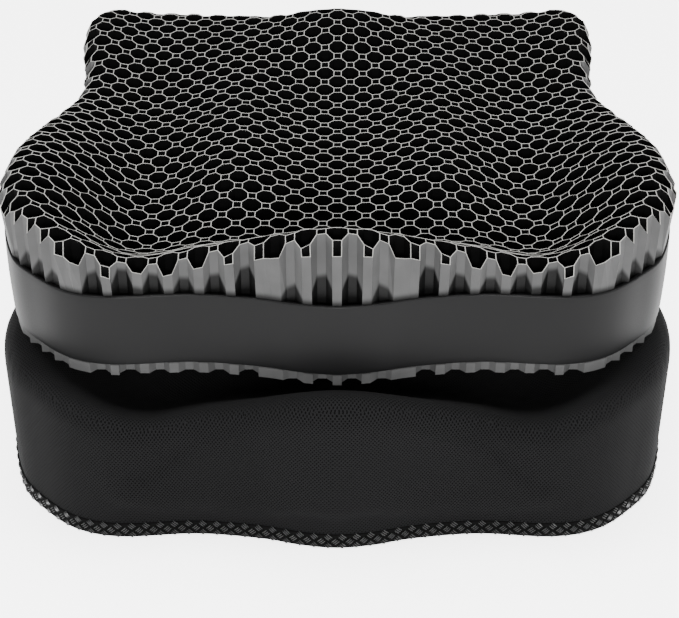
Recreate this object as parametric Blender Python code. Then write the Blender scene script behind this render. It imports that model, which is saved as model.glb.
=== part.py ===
"""Contoured gel seat cushion: a honeycomb core with its edge band, set down on its zipped cover.

Metres, +Z up, the user's knees towards -Y. The cover stands on z = 0 and is centred on the origin.
The core is modelled where it is set down, on top of the cover and a little further back.
"""

import math

import bmesh
import bpy
from mathutils import Vector
from mathutils.bvhtree import BVHTree

MM = 0.001

# Overall size of the bare core
WIDTH = 460.0 * MM
DEPTH = 409.0 * MM
SEAT_HEIGHT = 70.0 * MM

# Contour of the top, as rises above the seat height
FRONT_LIP_RISE = 27.0 * MM
POMMEL_RISE = 20.0 * MM
WING_RISE = 37.0 * MM
WING_RISE_BACK = 11.0 * MM
THIGH_RIDGE_RISE = 9.0 * MM
TROUGH_DROP = 7.0 * MM
REAR_RISE = 14.0 * MM
TAIL_RISE = 13.0 * MM

# Core and band
CORE_EDGE_RADIUS = 16.0 * MM
BAND_BOTTOM = 9.0 * MM
BAND_TOP = 63.5 * MM
BAND_WALL = 3.0 * MM
BAND_EDGE = 1.0 * MM
MOULDED_GAP = 0.3 * MM

# Cover
COVER_CLEARANCE = 3.5 * MM
FABRIC = 2.0 * MM
HOOD_HEADROOM = 2.0 * MM
HOOD_EDGE_RADIUS = 14.0 * MM
PANEL_BOTTOM = 0.0
PANEL_THICKNESS = 1.4 * MM
BINDING_HEIGHT = 11.5 * MM
BINDING_THICKNESS = 2.8 * MM
BINDING_END_CLEAR = 2.0 * MM
SEAM_GAP = 0.3 * MM

# Zip along the back, in the gap of the binding
ZIP_LENGTH = 250.0 * MM
ZIP_LIFT = 0.6 * MM
TAPE_THICKNESS = 1.0 * MM
TAPE_ROUNDING = 0.2 * MM
COIL_HEIGHT = 1.2 * MM
COIL_THICKNESS = 2.0 * MM
COIL_GAP = 0.3 * MM
STOP_LENGTH = 2.6 * MM
SMALL_ROUNDING = 0.35 * MM
SLIDER_LENGTH = 9.0 * MM
SLIDER_HEIGHT = 7.0 * MM
SLIDER_PLATE = 1.8 * MM
BAIL_WIDTH = 1.4 * MM
BAIL_ARM = 0.5 * MM
BAIL_ARM_WIDTH = 2.2 * MM
PULLER_LENGTH = 24.0 * MM
PULLER_HEIGHT = 5.6 * MM
PULLER_THICKNESS = 1.2 * MM
PULLER_EYE = 1.9 * MM
PULLER_EYE_WALL = 0.6 * MM
RUNNING_GAP = 0.35 * MM

# How the core stands on the cover
SET_BACK = 30.0 * MM
STANDING_GAP = 0.5 * MM

# Where the contours lie: spans and (middle, spread) pairs, in shares of half the width or depth
WING_SPAN = (0.60, 0.93)
WING_FALL_SPAN = (-0.62, 0.42)
LIP_SPAN = (-0.62, -0.98)
LIP_LOST_ON_WING = 0.7
POMMEL_ACROSS = (0.0, 0.30)
REAR_SPAN = (0.20, 0.90)
THIGH_RIDGE_ACROSS = (0.32, 0.15)
THIGH_RIDGE_END = (-0.25, -0.60)
TROUGH_ACROSS = (0.55, 0.12)
TROUGH_END = (-0.35, 0.10)
TAIL_ACROSS = (0.0, 0.20)
TAIL_ALONG = (0.86, 0.36)

# Mesh fineness
AROUND = 72
CURVE_STEPS = 12
ARC_STEPS = 3
EDGE_PROBES = 8
EYE_STEPS = 16
TOP_RINGS = (0.92, 0.84, 0.75, 0.64, 0.5, 0.33, 0.16)

# Plan of the right half from front centre to back centre, as shares of half the width and depth
PLAN = (
    (0.0, -1.0), (0.11, -0.985), (0.22, -0.955), (0.42, -0.93), (0.64, -0.945), (0.77, -0.91),
    (0.87, -0.82), (0.95, -0.70), (1.0, -0.47), (0.99, -0.20), (0.925, 0.10), (0.865, 0.36),
    (0.865, 0.53), (0.895, 0.73), (0.88, 0.86), (0.82, 0.95), (0.72, 0.99), (0.57, 1.0),
)
NOTCH = ((0.39, 0.98), (0.22, 0.945), (0.0, 0.91))
STRAIGHT_BACK = ((0.39, 1.0), (0.22, 1.0), (0.0, 1.0))


def smooth_step(value, start, end):
    """0 before start, 1 after end, and an even S-curve between them."""
    t = min(max((value - start) / (end - start), 0.0), 1.0)
    return t * t * (3.0 - 2.0 * t)


def bell(value, centre, spread):
    """1 at the centre, falling off evenly to both sides."""
    return math.exp(-(((value - centre) / spread) ** 2))


def top_height(x, y):
    """Height of the core's top above its underside, at a place in shares of half width and depth."""
    u = abs(x) / (WIDTH / 2)
    v = y / (DEPTH / 2)
    wing = smooth_step(u, *WING_SPAN)
    wing_rise = WING_RISE + (WING_RISE_BACK - WING_RISE) * smooth_step(v, *WING_FALL_SPAN)
    front = smooth_step(v, *LIP_SPAN)
    lip = FRONT_LIP_RISE * (1.0 - LIP_LOST_ON_WING * wing) + POMMEL_RISE * bell(u, *POMMEL_ACROSS)
    rear = smooth_step(v, *REAR_SPAN)
    ridge = bell(u, *THIGH_RIDGE_ACROSS) * (1.0 - rear) * (1.0 - smooth_step(v, *THIGH_RIDGE_END))
    trough = bell(u, *TROUGH_ACROSS) * (1.0 - smooth_step(v, *TROUGH_END))
    tail = bell(u, *TAIL_ACROSS) * bell(v, *TAIL_ALONG)
    height = SEAT_HEIGHT + wing * wing_rise + front * lip + rear * REAR_RISE
    return height + THIGH_RIDGE_RISE * ridge - TROUGH_DROP * trough + TAIL_RISE * tail


def plan_outline(back, offset):
    """The closed plan outline, counter-clockwise from front centre, moved outwards by offset."""
    half = list(PLAN) + list(back)
    corners = half + [(-u, v) for u, v in reversed(half[1:-1])]
    corners = [Vector((u * WIDTH / 2, v * DEPTH / 2)) for u, v in corners]
    count = len(corners)
    fine = []
    for i in range(count):
        a, b, c, d = (corners[(i + k) % count] for k in (-1, 0, 1, 2))
        for k in range(CURVE_STEPS):
            t = k / CURVE_STEPS
            fine.append(0.5 * (2 * b + (c - a) * t + (2 * a - 5 * b + 4 * c - d) * t * t
                               + (3 * b - a - 3 * c + d) * t ** 3))
    lengths = [0.0]
    for a, b in zip(fine, fine[1:] + fine[:1]):
        lengths.append(lengths[-1] + (b - a).length)
    ring = []
    place = 0
    for i in range(AROUND):
        target = lengths[-1] * i / AROUND
        while lengths[place + 1] < target:
            place += 1
        t = (target - lengths[place]) / (lengths[place + 1] - lengths[place])
        ring.append(fine[place].lerp(fine[(place + 1) % len(fine)], t))
    moved = []
    for i, point in enumerate(ring):
        along = (ring[(i + 1) % AROUND] - ring[i - 1]).normalized()
        moved.append(point + offset * Vector((along.y, -along.x)))
    return moved


def flat_ring(back, offset, z):
    """The plan outline, level at one height."""
    return [Vector((p.x, p.y, z)) for p in plan_outline(back, offset)]


def domed_rings(back, offset, radius, lift):
    """Rings up a rounded edge and in over the contoured top, lift above the core's own top."""
    rings = []
    for i in range(ARC_STEPS + 1):
        angle = math.pi / 2 * i / ARC_STEPS
        inset = radius * (1.0 - math.cos(angle))
        drop = radius * (1.0 - math.sin(angle))
        ring = plan_outline(back, offset - inset)
        rings.append([Vector((p.x, p.y, top_height(p.x, p.y) + lift - drop)) for p in ring])
    edge = plan_outline(back, offset - radius)
    for share in TOP_RINGS:
        ring = [p * share for p in edge]
        rings.append([Vector((p.x, p.y, top_height(p.x, p.y) + lift)) for p in ring])
    return rings


def material(name, colour, roughness, metallic=0.0):
    """A plain finish of one colour."""
    made = bpy.data.materials.new(name)
    made.use_nodes = True
    shader = made.node_tree.nodes["Principled BSDF"]
    shader.inputs["Base Color"].default_value = (*colour, 1.0)
    shader.inputs["Roughness"].default_value = roughness
    shader.inputs["Metallic"].default_value = metallic
    return made


def finish(name, mesh_builder, parent, finish_material, smooth=True):
    """Turns a bmesh into a named object under its parent, with its faces facing out."""
    bmesh.ops.remove_doubles(mesh_builder, verts=mesh_builder.verts, dist=0.00001)
    bmesh.ops.recalc_face_normals(mesh_builder, faces=mesh_builder.faces)
    mesh = bpy.data.meshes.new(name)
    mesh_builder.to_mesh(mesh)
    mesh_builder.free()
    mesh.materials.append(finish_material)
    if smooth:
        mesh.shade_smooth()
        mesh.set_sharp_from_angle(angle=math.radians(35))
    thing = bpy.data.objects.new(name, mesh)
    bpy.context.collection.objects.link(thing)
    thing.parent = parent
    return thing


def bridge(builder, lower, upper):
    """One row of quads between two rings of the same count."""
    count = len(lower)
    for i in range(count):
        j = (i + 1) % count
        builder.faces.new((lower[i], lower[j], upper[j], upper[i]))


def lofted(rings, close_first, close_last):
    """Skins a list of rings, each capped at its end or joined on to the first one."""
    builder = bmesh.new()
    loops = [[builder.verts.new(p) for p in ring] for ring in rings]
    for lower, upper in zip(loops, loops[1:]):
        bridge(builder, lower, upper)
    if close_first:
        builder.faces.new(list(reversed(loops[0])))
    if close_last:
        builder.faces.new(loops[-1])
    if not close_first and not close_last:
        bridge(builder, loops[-1], loops[0])
    return builder


def capped_dome(rings, skirt):
    """Closes a dome over its own middle point, with a flat underside at the skirt ring."""
    builder = bmesh.new()
    loops = [[builder.verts.new(p) for p in ring] for ring in [skirt] + rings]
    for lower, upper in zip(loops, loops[1:]):
        bridge(builder, lower, upper)
    builder.faces.new(list(reversed(loops[0])))
    return builder, loops[-1]


def fan(builder, loop, lift):
    """Closes the innermost ring over the middle of the top."""
    middle = builder.verts.new((0.0, 0.0, top_height(0.0, 0.0) + lift))
    count = len(loop)
    for i in range(count):
        builder.faces.new((loop[i], loop[(i + 1) % count], middle))


def box_builder(low, high):
    """A block between two corners, still as a bmesh."""
    builder = bmesh.new()
    bmesh.ops.create_cube(builder, size=1.0)
    for vert in builder.verts:
        for axis in range(3):
            middle = (low[axis] + high[axis]) / 2
            vert.co[axis] = middle + vert.co[axis] * (high[axis] - low[axis])
    return builder


def box(name, low, high, parent, finish_material, rounding=0.0):
    """A block between two corners, with its edges rounded over."""
    builder = box_builder(low, high)
    if rounding:
        bmesh.ops.bevel(builder, geom=builder.edges, offset=rounding, segments=2, profile=0.5,
                        affect="EDGES")
    return finish(name, builder, parent, finish_material)


def join_guide(made, guide):
    """Joins a guide shape on to a piece, and hides the guide itself."""
    guide.hide_render = True
    guide.display_type = "WIRE"
    joined = made.modifiers.new(guide.name, "BOOLEAN")
    joined.operation = "UNION"
    joined.solver = "EXACT"
    joined.object = guide


def empty(name, place, parent=None):
    """A named place that pieces hang on."""
    made = bpy.data.objects.new(name, None)
    made.location = place
    made.parent = parent
    bpy.context.collection.objects.link(made)
    return made


def inside(point, polygon):
    """Whether a plan point lies within a closed polygon."""
    hit = False
    for a, b in zip(polygon, polygon[1:] + polygon[:1]):
        if (a.y > point.y) != (b.y > point.y):
            cross = a.x + (b.x - a.x) * (point.y - a.y) / (b.y - a.y)
            if cross > point.x:
                hit = not hit
    return hit


# Heights and places that follow from the sizes above
CORE_SEAT = PANEL_BOTTOM + PANEL_THICKNESS + SEAM_GAP
HOOD_INNER_LIFT = CORE_SEAT + HOOD_HEADROOM
HOOD_OUTER_LIFT = HOOD_INNER_LIFT + FABRIC
HOOD_BOTTOM = BINDING_HEIGHT + SEAM_GAP
CORE_OFFSET = -(BAND_WALL + MOULDED_GAP)
BACK_WALL = DEPTH / 2 + COVER_CLEARANCE
ZIP_MIDDLE = ZIP_LIFT + (BINDING_HEIGHT - ZIP_LIFT) / 2
COIL_BACK = BACK_WALL + COIL_THICKNESS
SLIDER_BACK = COIL_BACK + RUNNING_GAP + SLIDER_PLATE
SLIDER_REST_X = ZIP_LENGTH / 2 - STOP_LENGTH - SEAM_GAP - SLIDER_LENGTH / 2 - MOULDED_GAP
PIVOT_RISE = PULLER_EYE + RUNNING_GAP
PIVOT = (SLIDER_REST_X, SLIDER_BACK + PIVOT_RISE, ZIP_MIDDLE)


def hood_top_tree():
    """The outside of the cover's top as a surface that can be probed from above."""
    rings = domed_rings(STRAIGHT_BACK, COVER_CLEARANCE + FABRIC, HOOD_EDGE_RADIUS, HOOD_OUTER_LIFT)
    points = [p for ring in rings for p in ring]
    faces = []
    for r in range(len(rings) - 1):
        for i in range(AROUND):
            j = (i + 1) % AROUND
            low, high = r * AROUND, (r + 1) * AROUND
            faces.append((low + i, low + j, high + j, high + i))
    return points, BVHTree.FromPolygons(points, faces)


def standing_height():
    """Height of the core's underside when it is set down on the highest part of the cover's top."""
    footprint = [p + Vector((0.0, SET_BACK)) for p in plan_outline(NOTCH, CORE_OFFSET)]
    points, tree = hood_top_tree()
    touched = [p.z for p in points if inside(p, footprint)]
    above = max(p.z for p in points) + STANDING_GAP
    for a, b in zip(footprint, footprint[1:] + footprint[:1]):
        for step in range(EDGE_PROBES):
            place = a.lerp(b, step / EDGE_PROBES)
            hit = tree.ray_cast(Vector((place.x, place.y, above)), Vector((0.0, 0.0, -1.0)))[0]
            if hit:
                touched.append(hit.z)
    return max(touched) + STANDING_GAP


def make_core(parent):
    """The gel core as a closed block of its outer shape."""
    gel = material("honeycomb gel", (0.045, 0.045, 0.05), 0.45)
    rings = domed_rings(NOTCH, CORE_OFFSET, CORE_EDGE_RADIUS, 0.0)
    builder, last = capped_dome(rings, flat_ring(NOTCH, CORE_OFFSET, 0.0))
    fan(builder, last, 0.0)
    finish("honeycomb_core", builder, parent, gel)


def make_band(parent):
    """A flat moulded band that runs round the core's side."""
    skin = material("moulded band", (0.04, 0.04, 0.042), 0.38)
    inner = -BAND_WALL
    profile = (
        (inner, BAND_BOTTOM), (-BAND_EDGE, BAND_BOTTOM), (0.0, BAND_BOTTOM + BAND_EDGE),
        (0.0, BAND_TOP - BAND_EDGE), (-BAND_EDGE, BAND_TOP), (inner, BAND_TOP),
    )
    rings = [flat_ring(NOTCH, offset, z) for offset, z in profile]
    finish("edge_band", lofted(rings, False, False), parent, skin)


def make_hood(parent):
    """The cover's top and sides: one shell of fabric, open at the bottom."""
    fabric = material("mesh fabric", (0.012, 0.012, 0.013), 0.85)
    outer = domed_rings(STRAIGHT_BACK, COVER_CLEARANCE + FABRIC, HOOD_EDGE_RADIUS, HOOD_OUTER_LIFT)
    inner = domed_rings(STRAIGHT_BACK, COVER_CLEARANCE, HOOD_EDGE_RADIUS - FABRIC, HOOD_INNER_LIFT)
    outer.insert(0, flat_ring(STRAIGHT_BACK, COVER_CLEARANCE + FABRIC, HOOD_BOTTOM))
    inner.insert(0, flat_ring(STRAIGHT_BACK, COVER_CLEARANCE, HOOD_BOTTOM))
    builder = bmesh.new()
    for rings, lift in ((outer, HOOD_OUTER_LIFT), (inner, HOOD_INNER_LIFT)):
        loops = [[builder.verts.new(p) for p in ring] for ring in rings]
        for lower, upper in zip(loops, loops[1:]):
            bridge(builder, lower, upper)
        fan(builder, loops[-1], lift)
    builder.verts.ensure_lookup_table()
    per_shell = len(builder.verts) // 2
    bridge(builder, builder.verts[:AROUND], builder.verts[per_shell:per_shell + AROUND])
    finish("mesh_hood", builder, parent, fabric)


def make_binding(parent):
    """The woven edge runs round from one end of the zip to the other."""
    webbing = material("woven binding", (0.02, 0.02, 0.022), 0.6)
    end = ZIP_LENGTH / 2 + SEAM_GAP
    turned = AROUND // 2
    inner = plan_outline(STRAIGHT_BACK, COVER_CLEARANCE)
    inner = inner[turned:] + inner[:turned]
    kept = [i for i, p in enumerate(inner) if p.y < 0.0 or abs(p.x) > end + BINDING_END_CLEAR]
    runs = []
    for offset in (COVER_CLEARANCE, COVER_CLEARANCE + BINDING_THICKNESS):
        line = plan_outline(STRAIGHT_BACK, offset)
        line = line[turned:] + line[:turned]
        back = DEPTH / 2 + offset
        runs.append([Vector((-end, back))] + [line[i] for i in kept] + [Vector((end, back))])
    builder = bmesh.new()
    sections = []
    for a, b in zip(*runs):
        corners = ((a, PANEL_BOTTOM), (b, PANEL_BOTTOM), (b, BINDING_HEIGHT), (a, BINDING_HEIGHT))
        sections.append([builder.verts.new((p.x, p.y, z)) for p, z in corners])
    for lower, upper in zip(sections, sections[1:]):
        bridge(builder, lower, upper)
    builder.faces.new(sections[0])
    builder.faces.new(list(reversed(sections[-1])))
    finish("edge_binding", builder, parent, webbing)


def make_panel(parent):
    """The fabric that closes the cover from below."""
    underside = material("anti-slip fabric", (0.02, 0.02, 0.02), 0.8)
    offset = COVER_CLEARANCE - SEAM_GAP
    rings = [flat_ring(STRAIGHT_BACK, offset, z)
             for z in (PANEL_BOTTOM, PANEL_BOTTOM + PANEL_THICKNESS)]
    finish("bottom_panel", lofted(rings, True, True), parent, underside)


def make_zip(parent):
    """Two tapes with a coil each, meeting at the zip's middle height, and a stop at each end."""
    tape = material("zip tape", (0.015, 0.015, 0.015), 0.8)
    nylon = material("zip coil", (0.02, 0.02, 0.022), 0.4)
    metal = material("zip metal", (0.10, 0.10, 0.105), 0.35, 0.9)
    end = ZIP_LENGTH / 2
    for name, side in (("upper", 1.0), ("lower", -1.0)):
        near = ZIP_MIDDLE + side * COIL_GAP / 2
        far = near + side * COIL_HEIGHT
        low, high = sorted((near, far))
        run = end - STOP_LENGTH - SEAM_GAP
        box("zip_coil_" + name, (-run, BACK_WALL, low), (run, COIL_BACK, high), parent, nylon,
            SMALL_ROUNDING)
        edge = BINDING_HEIGHT if side > 0 else ZIP_LIFT
        low, high = sorted((far + side * SEAM_GAP, edge))
        box("zip_tape_" + name, (-end, BACK_WALL, low), (end, BACK_WALL + TAPE_THICKNESS, high),
            parent, tape, TAPE_ROUNDING)
    half = COIL_GAP / 2 + COIL_HEIGHT
    for name, side in (("left", -1.0), ("right", 1.0)):
        low, high = sorted((side * end, side * (end - STOP_LENGTH)))
        box("zip_stop_" + name, (low, BACK_WALL, ZIP_MIDDLE - half), (high, COIL_BACK, ZIP_MIDDLE + half),
            parent, metal, SMALL_ROUNDING)


def make_slider(parent):
    """The slider's face plate, with the raised bail that the puller turns on."""
    metal = material("zip slider metal", (0.10, 0.10, 0.105), 0.35, 0.9)
    slider = empty("slider_place", PIVOT, parent)
    plate = box_builder(
        (-SLIDER_LENGTH / 2, -PIVOT_RISE - SLIDER_PLATE, -SLIDER_HEIGHT / 2),
        (SLIDER_LENGTH / 2, -PIVOT_RISE, SLIDER_HEIGHT / 2),
    )
    bmesh.ops.bevel(plate, geom=plate.edges, offset=SMALL_ROUNDING, segments=2, profile=0.5,
                    affect="EDGES")
    made = finish("zip_slider", plate, slider, metal)
    post = PULLER_HEIGHT / 2 + RUNNING_GAP
    root = -PIVOT_RISE - BAIL_ARM
    half = BAIL_ARM_WIDTH / 2
    pin = BAIL_WIDTH / 2
    pieces = [((-pin, -pin, -post - BAIL_ARM / 2), (pin, pin, post + BAIL_ARM / 2))]
    for side in (-1.0, 1.0):
        low, high = sorted((side * post, side * (post + BAIL_ARM)))
        pieces.append(((-half, root, low), (half, half, high)))
    for i, (low, high) in enumerate(pieces):
        join_guide(made, finish("bail_guide_%d" % i, box_builder(low, high), slider, metal, False))
    return slider


def make_puller(parent):
    """A flat tab with an eye round the bail, lying along the zip when it is at rest."""
    metal = material("zip puller metal", (0.10, 0.10, 0.105), 0.35, 0.9)
    half = PULLER_THICKNESS / 2
    tall = PULLER_HEIGHT / 2
    near = -PULLER_EYE + PULLER_EYE_WALL / 2
    builder = box_builder((-PULLER_LENGTH, -half, -tall), (near, half, tall))
    bmesh.ops.bevel(builder, geom=builder.edges, offset=SMALL_ROUNDING, segments=2, profile=0.5,
                    affect="EDGES")
    made = finish("zip_puller", builder, parent, metal)
    eye_builder = bmesh.new()
    rows = []
    for z in (-tall + SMALL_ROUNDING, tall - SMALL_ROUNDING):
        for radius in (PULLER_EYE - PULLER_EYE_WALL, PULLER_EYE):
            turns = [2 * math.pi * i / EYE_STEPS for i in range(EYE_STEPS)]
            rows.append([eye_builder.verts.new((radius * math.cos(t), radius * math.sin(t), z))
                         for t in turns])
    low_in, low_out, high_in, high_out = rows
    for a, b in ((low_in, low_out), (low_out, high_out), (high_out, high_in), (high_in, low_in)):
        bridge(eye_builder, a, b)
    join_guide(made, finish("puller_eye_guide", eye_builder, parent, metal, False))


for old in list(bpy.data.objects):
    bpy.data.objects.remove(old, do_unlink=True)

cover = empty("cover_place", (0.0, 0.0, 0.0))
core = empty("core_place", (0.0, SET_BACK, standing_height()))
make_core(core)
make_band(core)
make_hood(cover)
make_binding(cover)
make_panel(cover)
make_zip(cover)
make_puller(make_slider(cover))
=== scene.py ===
import math
import random

import bmesh
import bpy
import numpy as np
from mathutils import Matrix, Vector


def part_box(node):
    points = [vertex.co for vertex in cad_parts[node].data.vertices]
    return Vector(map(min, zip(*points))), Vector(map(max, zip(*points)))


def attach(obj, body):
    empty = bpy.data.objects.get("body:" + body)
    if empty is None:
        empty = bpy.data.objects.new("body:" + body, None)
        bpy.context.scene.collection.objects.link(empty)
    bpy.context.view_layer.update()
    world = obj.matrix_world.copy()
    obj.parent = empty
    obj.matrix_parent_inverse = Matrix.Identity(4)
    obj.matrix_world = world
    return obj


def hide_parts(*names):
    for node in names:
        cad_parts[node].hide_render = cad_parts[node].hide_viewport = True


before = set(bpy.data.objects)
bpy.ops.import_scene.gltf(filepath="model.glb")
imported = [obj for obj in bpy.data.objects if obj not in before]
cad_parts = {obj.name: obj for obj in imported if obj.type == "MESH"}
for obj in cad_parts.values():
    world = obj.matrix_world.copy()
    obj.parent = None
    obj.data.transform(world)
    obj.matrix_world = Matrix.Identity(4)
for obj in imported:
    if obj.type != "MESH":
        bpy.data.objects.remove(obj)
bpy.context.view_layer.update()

MM = 0.001

# ---------------------------------------------------------------------------------------------
# The studio: a plain pale floor that the cushion stands on, and soft boxes round it.
# The camera looks down on the cushion's front, as someone does who is about to sit on it.

FLOOR_SIZE = 14.0
LIT_FLOOR = (0.6, 3.5)
LIT_SKY = (0.3, 3.5)
CAMERA_PLACE = (0.0015, -1.0337, 0.7775)
CAMERA_DIP = math.radians(35.05)
CAMERA_LENS = 87.2


def soft_box(name, place, target, size, power):
    """A rectangular area light that faces its target."""
    data = bpy.data.lights.new(name, "AREA")
    data.shape = "RECTANGLE"
    data.size, data.size_y = size
    data.energy = power
    lamp = bpy.data.objects.new(name, data)
    lamp.location = place
    lamp.rotation_euler = (Vector(target) - Vector(place)).to_track_quat("-Z", "Y").to_euler()
    bpy.context.collection.objects.link(lamp)


def glow_to_camera(tree, strengths, socket):
    """Sets a glow that is weak as a lamp and strong where the camera sees it."""
    seen = tree.nodes.new("ShaderNodeLightPath")
    glow = tree.nodes.new("ShaderNodeMapRange")
    glow.inputs["To Min"].default_value, glow.inputs["To Max"].default_value = strengths
    tree.links.new(seen.outputs["Is Camera Ray"], glow.inputs["Value"])
    tree.links.new(glow.outputs["Result"], socket)


bpy.ops.mesh.primitive_plane_add(size=FLOOR_SIZE)
floor = bpy.context.object
floor.name = "studio_floor"
paper = bpy.data.materials.new("white paper")
paper.use_nodes = True
paper_shader = paper.node_tree.nodes["Principled BSDF"]
paper_shader.inputs["Base Color"].default_value = (0.92, 0.92, 0.92, 1.0)
paper_shader.inputs["Roughness"].default_value = 0.9
paper_shader.inputs["Specular IOR Level"].default_value = 0.1
paper_shader.inputs["Emission Color"].default_value = (1.0, 1.0, 1.0, 1.0)
glow_to_camera(paper.node_tree, LIT_FLOOR, paper_shader.inputs["Emission Strength"])
floor.data.materials.append(paper)

world = bpy.data.worlds.new("studio")
world.use_nodes = True
sky = world.node_tree.nodes["Background"]
sky.inputs["Color"].default_value = (1.0, 1.0, 1.0, 1.0)
glow_to_camera(world.node_tree, LIT_SKY, sky.inputs["Strength"])
bpy.context.scene.world = world

soft_box("front_box", (0.0, -2.2, 1.0), (0.0, 0.0, 0.1), (1.0, 0.6), 62.0)
soft_box("top_box", (0.0, 0.3, 2.2), (0.0, 0.0, 0.1), (1.8, 1.4), 110.0)
soft_box("left_strip", (-1.5, -0.2, 0.7), (0.0, -0.05, 0.12), (0.25, 1.2), 16.0)
soft_box("right_strip", (1.5, -0.2, 0.7), (0.0, -0.05, 0.12), (0.25, 1.2), 16.0)

lens = bpy.data.cameras.new("camera")
lens.lens = CAMERA_LENS
lens.sensor_width = 36.0
camera = bpy.data.objects.new("camera", lens)
camera.location = CAMERA_PLACE
camera.rotation_euler = (math.pi / 2 - CAMERA_DIP, 0.0, 0.0)
bpy.context.collection.objects.link(camera)
bpy.context.scene.camera = camera

# ---------------------------------------------------------------------------------------------
# The honeycomb core: one casting of soft gel, octagon cells with small square cells between.
# The walls stand upright and are cut to the seat's contour, and roll off all round the rim.

WIDTH = 460.0 * MM
DEPTH = 409.0 * MM
SEAT_HEIGHT = 70.0 * MM
FRONT_LIP_RISE = 27.0 * MM
POMMEL_RISE = 20.0 * MM
WING_RISE = 37.0 * MM
WING_RISE_BACK = 11.0 * MM
THIGH_RIDGE_RISE = 9.0 * MM
TROUGH_DROP = 7.0 * MM
REAR_RISE = 14.0 * MM
TAIL_RISE = 13.0 * MM
WING_SPAN = (0.60, 0.93)
WING_FALL_SPAN = (-0.62, 0.42)
LIP_SPAN = (-0.62, -0.98)
LIP_LOST_ON_WING = 0.7
POMMEL_ACROSS = (0.0, 0.30)
REAR_SPAN = (0.20, 0.90)
THIGH_RIDGE_ACROSS = (0.32, 0.15)
THIGH_RIDGE_END = (-0.25, -0.60)
TROUGH_ACROSS = (0.55, 0.12)
TROUGH_END = (-0.35, 0.10)
TAIL_ACROSS = (0.0, 0.20)
TAIL_ALONG = (0.86, 0.36)
PLAN = (
    (0.0, -1.0), (0.11, -0.985), (0.22, -0.955), (0.42, -0.93), (0.64, -0.945), (0.77, -0.91),
    (0.87, -0.82), (0.95, -0.70), (1.0, -0.47), (0.99, -0.20), (0.925, 0.10), (0.865, 0.36),
    (0.865, 0.53), (0.895, 0.73), (0.88, 0.86), (0.82, 0.95), (0.72, 0.99), (0.57, 1.0),
)
NOTCH = ((0.39, 0.98), (0.22, 0.945), (0.0, 0.91))
STRAIGHT_BACK = ((0.39, 1.0), (0.22, 1.0), (0.0, 1.0))
CURVE_STEPS = 12

BAND_INSET = 3.3 * MM
CELLS_INSET = 1.2 * MM
CELLS_OVERHANG = 0.8 * MM
WAIST = 64.0 * MM
CELL_PITCH = 9.87 * MM
ROW_SHIFT = 4.8 * MM
HALF_SQUARE = 2.85 * MM
WALL = 0.55 * MM
RIM_CHAMFER = 0.15 * MM
OCTAGON_INSIDE = 2.4 * MM
SQUARE_INSIDE = -1.6 * MM
ROLL_WIDTH = 16.0 * MM
ROLL_DROP = 14.0 * MM
STUB_SHADE = 1.5 * MM
CASTING_WANDER = 0.12 * MM
SHARPEST_CORNER = 0.35
CORE_OUTLINE_POINTS = 360

core_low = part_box("honeycomb_core")[0]
core_place = Vector((0.0, core_low.y + DEPTH / 2 - BAND_INSET, core_low.z))


def smooth_step(value, span):
    """0 before the span, 1 after it, and an even S-curve between."""
    t = np.clip((value - span[0]) / (span[1] - span[0]), 0.0, 1.0)
    return t * t * (3.0 - 2.0 * t)


def bell(value, place):
    """1 at the place's middle, falling off evenly to both sides over its spread."""
    return np.exp(-(((value - place[0]) / place[1]) ** 2))


def seat_height(plan):
    """Height of the core's top above its underside, for an array of plan points."""
    u = np.abs(plan[:, 0]) / (WIDTH / 2)
    v = plan[:, 1] / (DEPTH / 2)
    wing = smooth_step(u, WING_SPAN)
    wing_rise = WING_RISE + (WING_RISE_BACK - WING_RISE) * smooth_step(v, WING_FALL_SPAN)
    lip = FRONT_LIP_RISE * (1.0 - LIP_LOST_ON_WING * wing) + POMMEL_RISE * bell(u, POMMEL_ACROSS)
    rear = smooth_step(v, REAR_SPAN)
    ridge = bell(u, THIGH_RIDGE_ACROSS) * (1.0 - rear) * (1.0 - smooth_step(v, THIGH_RIDGE_END))
    trough = bell(u, TROUGH_ACROSS) * (1.0 - smooth_step(v, TROUGH_END))
    tail = bell(u, TAIL_ACROSS) * bell(v, TAIL_ALONG)
    height = SEAT_HEIGHT + wing * wing_rise + smooth_step(v, LIP_SPAN) * lip + rear * REAR_RISE
    return height + THIGH_RIDGE_RISE * ridge - TROUGH_DROP * trough + TAIL_RISE * tail


def plan_outline(back, offset, count):
    """The closed plan outline from front centre, counter-clockwise, moved outwards by offset."""
    half = list(PLAN) + list(back)
    corners = np.array(half + [(-u, v) for u, v in reversed(half[1:-1])])
    corners = corners * (WIDTH / 2, DEPTH / 2)
    before, after, beyond = (np.roll(corners, shift, 0) for shift in (1, -1, -2))
    fine = []
    for k in range(CURVE_STEPS):
        t = k / CURVE_STEPS
        bend = (2 * before - 5 * corners + 4 * after - beyond) * t * t
        twist = (3 * corners - before - 3 * after + beyond) * t ** 3
        fine.append(0.5 * (2 * corners + (after - before) * t + bend + twist))
    fine = np.stack(fine, 1).reshape(-1, 2)
    closed = np.vstack((fine, fine[:1]))
    along = np.concatenate(([0.0], np.cumsum(np.linalg.norm(np.diff(closed, axis=0), axis=1))))
    places = along[-1] * np.arange(count) / count
    ring = np.stack([np.interp(places, along, closed[:, axis]) for axis in (0, 1)], 1)
    way = np.roll(ring, -1, 0) - np.roll(ring, 1, 0)
    way /= np.linalg.norm(way, axis=1)[:, None]
    return ring + offset * np.stack((way[:, 1], -way[:, 0]), 1)


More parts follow.
